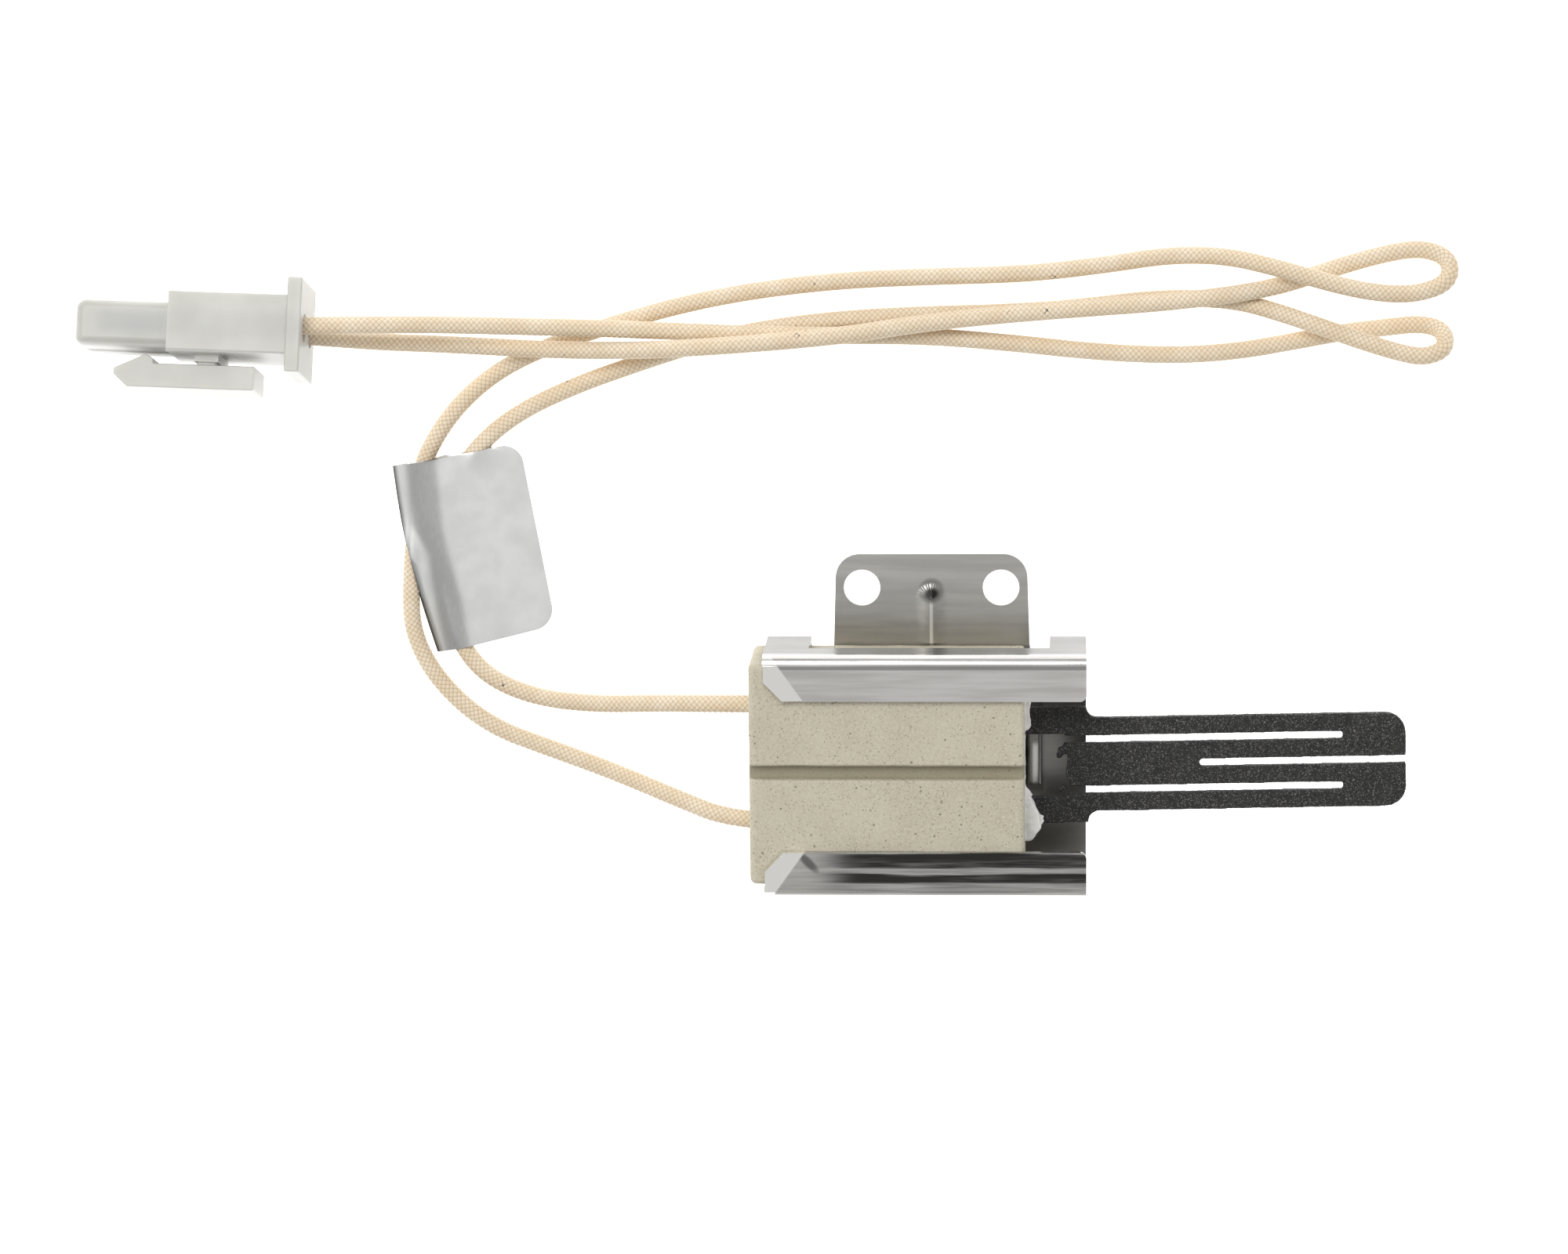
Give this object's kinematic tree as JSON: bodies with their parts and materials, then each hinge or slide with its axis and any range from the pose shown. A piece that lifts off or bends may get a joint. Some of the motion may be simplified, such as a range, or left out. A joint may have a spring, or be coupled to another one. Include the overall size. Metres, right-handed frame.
{
  "type": "hot surface igniter",
  "caption": "Flat slotted silicon-carbide igniter in a ceramic block and formed steel bracket, with braided leads and a latching plug.",
  "frame": {"origin": "midway between the two mounting holes, on the rear face of the bracket's tab", "axes": "+X towards the heating element's tip, +Y towards the mounting tab's free edge, +Z out of the bracket's front, away from the surface it is screwed to"},
  "size_m": [0.1859, 0.0875, 0.0181],
  "materials": {
    "stainless_sheet": "bright rolled stainless sheet, brushed along its length",
    "block_ceramic": "unglazed beige-olive cordierite with fine dark specks",
    "silicon_carbide": "dark recrystallised silicon carbide with a fine sparkle",
    "potting_cement": "dry white refractory cement",
    "glass_braid": "cream braided glass-fibre sleeve",
    "tag_foil": "satin aluminium foil label",
    "plug_nylon": "natural nylon, translucent and satin",
    "sprayed_contact": "sprayed metal on the element's root",
    "nickel_wire": "drawn nickel-chrome wire",
    "steel_crimp": "plated steel splice",
    "nickel_strand": "stranded nickel-plated copper",
    "tinned_terminal": "tin-plated brass"
  },
  "bodies": {
    "root": {"mounting_bracket": "stainless_sheet", "ceramic_block": "block_ceramic", "heating_element": "silicon_carbide", "upper_leg_contact": "sprayed_contact", "upper_lead_in_wire": "nickel_wire", "upper_splice_crimp": "steel_crimp", "upper_block_conductor": "nickel_strand", "lower_leg_contact": "sprayed_contact", "lower_lead_in_wire": "nickel_wire", "lower_splice_crimp": "steel_crimp", "lower_block_conductor": "nickel_strand", "potting_cement": "potting_cement", "lead_upper": "glass_braid", "lead_lower": "glass_braid", "foil_tag": "tag_foil", "plug_housing": "plug_nylon", "near_terminal": "tinned_terminal", "near_plug_conductor": "nickel_strand", "far_terminal": "tinned_terminal", "far_plug_conductor": "nickel_strand"},
    "latch": {"latch_arm": "plug_nylon"}
  },
  "joints": [
    {"name": "latch_rock", "type": "hinge", "parent": "root", "child": "latch", "pos_m": [-0.09695, 0.03193, 0.01075], "axis": [0.0096, 0.2502, 0.9681], "range_deg": [-3, 8], "stiffness_Nm_per_rad": 0.05}
  ]
}
